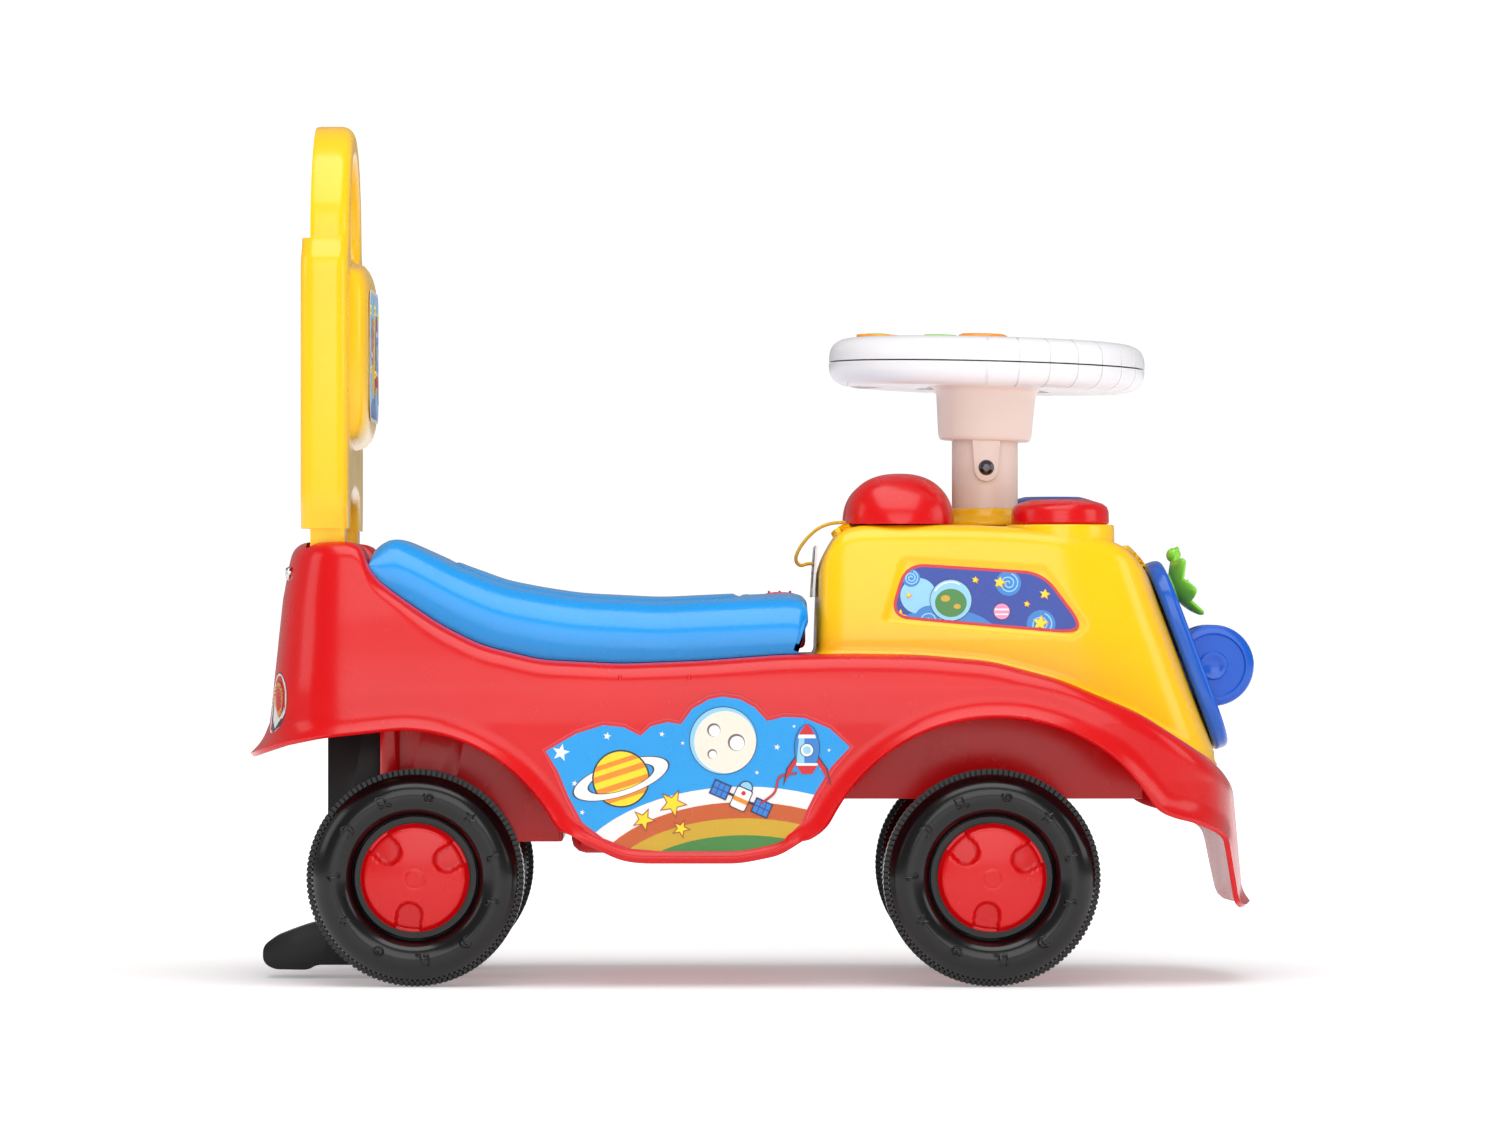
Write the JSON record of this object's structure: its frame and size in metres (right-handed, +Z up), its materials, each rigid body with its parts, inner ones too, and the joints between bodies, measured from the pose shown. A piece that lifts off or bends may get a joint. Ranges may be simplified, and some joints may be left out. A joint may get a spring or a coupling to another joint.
{
  "type": "ride-on push car",
  "caption": "Toddler's foot-to-floor ride-on car: moulded body with tip-up seat over a storage tub, steered front axle, push-along backrest handle and activity toys.",
  "frame": {"origin": "on the ground under the middle of the car's length and width", "axes": "+X forwards, +Y to the car's left, +Z up"},
  "size_m": [0.561, 0.236, 0.4815],
  "materials": {
    "red_plastic": "glossy moulded polypropylene",
    "yellow_plastic": "glossy moulded polypropylene",
    "sky_blue_plastic": "glossy moulded polypropylene",
    "deep_blue_plastic": "glossy moulded polypropylene",
    "white_plastic": "glossy moulded plastic",
    "cream_plastic": "satin cream moulded plastic",
    "green_plastic": "glossy moulded plastic",
    "orange_plastic": "glossy moulded plastic",
    "black_plastic": "glossy blow-moulded plastic",
    "steel": "zinc-plated steel",
    "circuit_green": "coated circuit board",
    "battery_wrap": "printed cell wrap",
    "cord_yellow": "braided cord"
  },
  "bodies": {
    "chassis": {"body_shell": "red_plastic", "bonnet": "yellow_plastic", "dash_panel": "white_plastic", "backrest": "yellow_plastic", "anti_tip_strut": "black_plastic", "rear_axle": "steel", "seat_hinge_pin": "steel", "lower_column_bush": "black_plastic", "column_collar": "yellow_plastic", "rear_bush_right": "black_plastic", "rear_bush_left": "black_plastic", "backrest_screw_right": "steel", "backrest_screw_left": "steel", "strut_screw_low": "steel", "strut_screw_high": "steel", "front_plate": "deep_blue_plastic", "spinner_pin": "steel", "handset_cord": "cord_yellow", "rear_right_push_nut": "steel", "rear_left_push_nut": "steel"},
    "steering": {"steering_column": "cream_plastic", "steering_yoke": "black_plastic", "front_axle": "steel", "front_spacer_right": "black_plastic", "front_spacer_left": "black_plastic", "wheel_lower_shell": "white_plastic", "wheel_upper_shell": "white_plastic", "battery_door": "white_plastic", "circuit_board": "circuit_green", "speaker": "black_plastic", "battery_1": "battery_wrap", "battery_2": "battery_wrap", "column_screw": "steel", "column_nut": "steel", "rim_button_ring": "orange_plastic", "front_right_push_nut": "steel", "front_left_push_nut": "steel"},
    "roller": {"roller_shaft": "steel", "roller_right": "deep_blue_plastic", "roller_left": "deep_blue_plastic"},
    "spinner": {"star_spinner": "green_plastic"},
    "red_knob": {"red_knob": "red_plastic", "red_knob_clip": "steel"},
    "blue_knob": {"blue_knob": "deep_blue_plastic", "blue_knob_clip": "steel"},
    "handset": {"handset": "red_plastic"},
    "seat": {"seat_lid": "sky_blue_plastic"},
    "catch": {"seat_catch": "red_plastic"},
    "centre_button": {"centre_button": "orange_plastic"},
    "green_button": {"green_button": "green_plastic"},
    "red_button": {"red_button": "red_plastic"},
    "rim_button": {"rim_button": "green_plastic"},
    "rear_right_wheel": {"rear_right_tyre": "black_plastic", "rear_right_hub_cap": "red_plastic"},
    "rear_left_wheel": {"rear_left_tyre": "black_plastic", "rear_left_hub_cap": "red_plastic"},
    "front_right_wheel": {"front_right_tyre": "black_plastic", "front_right_hub_cap": "red_plastic"},
    "front_left_wheel": {"front_left_tyre": "black_plastic", "front_left_hub_cap": "red_plastic"}
  },
  "joints": [
    {"name": "steering_turn", "type": "hinge", "parent": "chassis", "child": "steering", "pos_m": [0.13, 0, 0.06], "axis": [0, 0, 1], "range_deg": [-20, 20]},
    {"name": "seat_tilt", "type": "hinge", "parent": "chassis", "child": "seat", "pos_m": [-0.2075, 0, 0.2375], "axis": [0, -1, 0], "range_deg": [0, 70]},
    {"name": "catch_press", "type": "slide", "parent": "chassis", "child": "catch", "axis": [0, 0, -1], "range_m": [0, 0.003], "stiffness_N_per_m": 400},
    {"name": "roller_spin", "type": "hinge", "parent": "chassis", "child": "roller", "pos_m": [0.2576, 0, 0.1765], "axis": [0, 1, 0], "continuous": true},
    {"name": "spinner_spin", "type": "hinge", "parent": "chassis", "child": "spinner", "pos_m": [0.22552, 0, 0.21567], "axis": [0.9367, 0, 0.3502], "continuous": true},
    {"name": "red_knob_spin", "type": "hinge", "parent": "chassis", "child": "red_knob", "pos_m": [0.1704, -0.045, 0.2557], "axis": [0, 0, 1], "continuous": true},
    {"name": "blue_knob_spin", "type": "hinge", "parent": "chassis", "child": "blue_knob", "pos_m": [0.1704, 0.045, 0.2557], "axis": [0, 0, 1], "continuous": true},
    {"name": "handset_lift", "type": "slide", "parent": "chassis", "child": "handset", "axis": [0, 0, 1], "range_m": [0, 0.03]},
    {"name": "centre_button_press", "type": "slide", "parent": "steering", "child": "centre_button", "axis": [-0.0227, 0, -0.9997], "range_m": [0, 0.002], "stiffness_N_per_m": 300},
    {"name": "green_button_press", "type": "slide", "parent": "steering", "child": "green_button", "axis": [-0.0227, 0, -0.9997], "range_m": [0, 0.002], "stiffness_N_per_m": 300},
    {"name": "red_button_press", "type": "slide", "parent": "steering", "child": "red_button", "axis": [-0.0227, 0, -0.9997], "range_m": [0, 0.002], "stiffness_N_per_m": 300},
    {"name": "rim_button_press", "type": "slide", "parent": "steering", "child": "rim_button", "axis": [-0.0227, 0, -0.9997], "range_m": [0, 0.002], "stiffness_N_per_m": 300},
    {"name": "rear_right_wheel_spin", "type": "hinge", "parent": "chassis", "child": "rear_right_wheel", "pos_m": [-0.1883, -0.095, 0.06], "axis": [0, 1, 0], "continuous": true},
    {"name": "rear_left_wheel_spin", "type": "hinge", "parent": "chassis", "child": "rear_left_wheel", "pos_m": [-0.1883, 0.095, 0.06], "axis": [0, 1, 0], "continuous": true},
    {"name": "front_right_wheel_spin", "type": "hinge", "parent": "steering", "child": "front_right_wheel", "pos_m": [0.13, -0.095, 0.06], "axis": [0, 1, 0], "continuous": true},
    {"name": "front_left_wheel_spin", "type": "hinge", "parent": "steering", "child": "front_left_wheel", "pos_m": [0.13, 0.095, 0.06], "axis": [0, 1, 0], "continuous": true}
  ]
}
